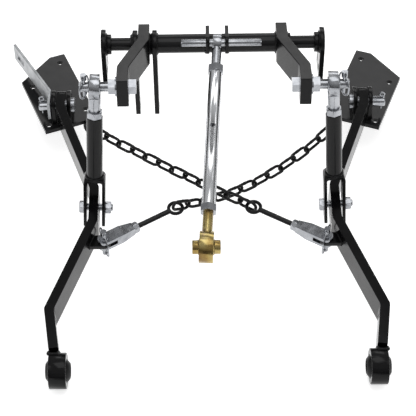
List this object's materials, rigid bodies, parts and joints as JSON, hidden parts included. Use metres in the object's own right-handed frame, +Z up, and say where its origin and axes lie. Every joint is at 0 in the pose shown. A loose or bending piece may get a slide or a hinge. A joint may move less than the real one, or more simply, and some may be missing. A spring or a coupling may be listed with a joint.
{
  "type": "three point hitch",
  "caption": "Garden tractor three point hitch with rockshaft, lift links, lower arms with ball ends, turnbuckle top link and crossed stabiliser chains.",
  "frame": {"origin": "middle of the rockshaft axis", "axes": "+X across to the right seen from the implement, +Y forwards to the tractor, +Z up"},
  "size_m": [0.7337, 0.7751, 0.3373],
  "materials": {
    "black_paint": "gloss",
    "zinc_plate": "satin",
    "bright_zinc_tube": "gloss",
    "yellow_zinc": "gloss",
    "dark_oxide": "satin",
    "grey_strap": "satin"
  },
  "bodies": {
    "tractor_mounts": {"left_hanger": "black_paint", "right_hanger": "black_paint", "left_mount_plate": "black_paint", "right_mount_plate": "black_paint", "left_pivot_ears": "black_paint", "right_pivot_ears": "black_paint", "left_pivot_pin": "zinc_plate", "right_pivot_pin": "zinc_plate", "pivot_cotter_pins": "zinc_plate", "chain_anchors": "dark_oxide"},
    "rockshaft": {"rockshaft_core": "black_paint", "rockshaft_tube": "black_paint", "left_lift_arm": "black_paint", "right_lift_arm": "black_paint", "left_lift_stud": "zinc_plate", "right_lift_stud": "zinc_plate", "lift_stud_nuts_and_washers": "zinc_plate", "lynch_pins": "zinc_plate", "rod_end_balls": "zinc_plate", "outer_actuator_lever": "black_paint", "inner_actuator_lever": "black_paint", "top_link_lugs": "black_paint"},
    "top_pin": {"top_link_pin": "zinc_plate"},
    "top_link_front": {"top_link_upper_eye": "zinc_plate", "top_link_upper_nut": "zinc_plate"},
    "turnbuckle": {"top_link_tube": "bright_zinc_tube"},
    "top_link_rear": {"top_link_lower_end": "yellow_zinc", "top_link_lower_nut": "zinc_plate"},
    "top_ball": {"top_link_ball": "yellow_zinc"},
    "strap": {"slotted_strap": "grey_strap"},
    "left_link": {"left_rod_end": "zinc_plate", "left_link_jam_nut": "zinc_plate", "left_link_tube": "black_paint", "left_link_clevis": "black_paint", "left_clevis_bolt": "zinc_plate"},
    "left_arm": {"left_lower_arm": "black_paint", "left_ball_socket": "black_paint", "left_chain_tab": "black_paint"},
    "left_ball": {"left_lower_ball": "dark_oxide"},
    "left_yoke": {"left_stabiliser_yoke": "zinc_plate", "left_yoke_pin": "zinc_plate", "left_eye_bolt": "dark_oxide"},
    "left_clip": {"left_snap_ring": "zinc_plate"},
    "left_chain": {"left_stabiliser_chain": "dark_oxide"},
    "left_lynch": {"left_lynch_ring": "zinc_plate"},
    "right_link": {"right_rod_end": "zinc_plate", "right_link_jam_nut": "zinc_plate", "right_link_tube": "black_paint", "right_link_clevis": "black_paint", "right_clevis_bolt": "zinc_plate"},
    "right_arm": {"right_lower_arm": "black_paint", "right_ball_socket": "black_paint", "right_chain_tab": "black_paint"},
    "right_ball": {"right_lower_ball": "dark_oxide"},
    "right_yoke": {"right_stabiliser_yoke": "zinc_plate", "right_yoke_pin": "zinc_plate", "right_eye_bolt": "dark_oxide"},
    "right_clip": {"right_snap_ring": "zinc_plate"},
    "right_chain": {"right_stabiliser_chain": "dark_oxide"},
    "right_lynch": {"right_lynch_ring": "zinc_plate"}
  },
  "joints": [
    {"name": "rockshaft_lift", "type": "hinge", "parent": "tractor_mounts", "child": "rockshaft", "pos_m": [0, 0, 0], "axis": [-1, 0, 0], "range_deg": [0, 40]},
    {"name": "left_link_swing", "type": "hinge", "parent": "rockshaft", "child": "left_link", "pos_m": [-0.194, -0.12531, 0.01317], "axis": [-1, 0, 0], "range_deg": [-34, 2]},
    {"name": "left_arm_lift", "type": "hinge", "parent": "tractor_mounts", "child": "left_arm", "pos_m": [-0.275, 0.076, -0.201], "axis": [-1, 0, 0], "range_deg": [0, 22]},
    {"name": "left_ball_swivel", "type": "hinge", "parent": "left_arm", "child": "left_ball", "pos_m": [-0.254, -0.48501, -0.26799], "axis": [0, -0.1186, 0.9929], "range_deg": [-15, 15]},
    {"name": "left_yoke_swing", "type": "hinge", "parent": "left_arm", "child": "left_yoke", "pos_m": [-0.188, -0.23479, -0.23811], "axis": [0, -0.1186, 0.9929], "range_deg": [-1, 1]},
    {"name": "left_snap_ring_flip", "type": "hinge", "parent": "left_yoke", "child": "left_clip", "pos_m": [-0.188, -0.23776, -0.21329], "axis": [0.3173, -0.9416, -0.1124], "range_deg": [0, 30]},
    {"name": "left_chain_swing", "type": "hinge", "parent": "tractor_mounts", "child": "left_chain", "pos_m": [0.22415, 0.0492, -0.235], "axis": [-0.591, 0.8049, -0.0537], "range_deg": [0, 14]},
    {"name": "left_lynch_ring_flip", "type": "hinge", "parent": "rockshaft", "child": "left_lynch", "pos_m": [-0.211, -0.12332, 0.03207], "axis": [0.309, 0.9458, -0.0994], "range_deg": [0, 95]},
    {"name": "right_link_swing", "type": "hinge", "parent": "rockshaft", "child": "right_link", "pos_m": [0.194, -0.12531, 0.01317], "axis": [-1, 0, 0], "range_deg": [-34, 2]},
    {"name": "right_arm_lift", "type": "hinge", "parent": "tractor_mounts", "child": "right_arm", "pos_m": [0.275, 0.076, -0.201], "axis": [-1, 0, 0], "range_deg": [0, 22]},
    {"name": "right_ball_swivel", "type": "hinge", "parent": "right_arm", "child": "right_ball", "pos_m": [0.254, -0.48501, -0.26799], "axis": [0, -0.1186, 0.9929], "range_deg": [-15, 15]},
    {"name": "right_yoke_swing", "type": "hinge", "parent": "right_arm", "child": "right_yoke", "pos_m": [0.188, -0.23479, -0.23811], "axis": [0, -0.1186, 0.9929], "range_deg": [-1, 1]},
    {"name": "right_snap_ring_flip", "type": "hinge", "parent": "right_yoke", "child": "right_clip", "pos_m": [0.188, -0.23776, -0.21329], "axis": [0.3173, 0.9416, 0.1124], "range_deg": [0, 30]},
    {"name": "right_chain_swing", "type": "hinge", "parent": "tractor_mounts", "child": "right_chain", "pos_m": [-0.22415, 0.0492, -0.235], "axis": [-0.5906, -0.8053, 0.0516], "range_deg": [0, 14]},
    {"name": "right_lynch_ring_flip", "type": "hinge", "parent": "rockshaft", "child": "right_lynch", "pos_m": [0.211, -0.12332, 0.03207], "axis": [0.309, -0.9458, 0.0994], "range_deg": [0, 95]},
    {"name": "top_pin_slide", "type": "slide", "parent": "rockshaft", "child": "top_pin", "axis": [1, 0, 0], "range_m": [-0.053, 0.025]},
    {"name": "top_link_swing", "type": "hinge", "parent": "rockshaft", "child": "top_link_front", "pos_m": [0, -0.024, 0.02], "axis": [-1, 0, 0], "range_deg": [-35, 30]},
    {"name": "turnbuckle_turn", "type": "hinge", "parent": "top_link_front", "child": "turnbuckle", "pos_m": [0.007, -0.024, 0.02], "axis": [-0.0628, -0.9544, -0.2918], "range_deg": [0, 1801]},
    {"name": "top_link_length", "type": "slide", "parent": "top_link_front", "child": "top_link_rear", "axis": [-0.0628, -0.9544, -0.2918], "range_m": [0, 0.02]},
    {"name": "top_ball_swivel", "type": "hinge", "parent": "top_link_rear", "child": "top_ball", "pos_m": [-0.01686, -0.38668, -0.09088], "axis": [0, -0.2924, 0.9563], "range_deg": [-6, 6]},
    {"name": "strap_swing", "type": "hinge", "parent": "tractor_mounts", "child": "strap", "pos_m": [-0.275, 0.076, -0.201], "axis": [1, 0, 0], "range_deg": [-2, 60]}
  ],
  "couplings": [
    {"joint": "left_link_swing", "follows": "rockshaft_lift", "ratio": -0.8},
    {"joint": "left_arm_lift", "follows": "rockshaft_lift", "ratio": 0.523},
    {"joint": "left_chain_swing", "follows": "rockshaft_lift", "ratio": 0.3283},
    {"joint": "right_link_swing", "follows": "rockshaft_lift", "ratio": -0.8},
    {"joint": "right_arm_lift", "follows": "rockshaft_lift", "ratio": 0.523},
    {"joint": "right_chain_swing", "follows": "rockshaft_lift", "ratio": 0.3419},
    {"joint": "turnbuckle_turn", "follows": "top_link_length", "rad_per_m": 1570.8}
  ]
}
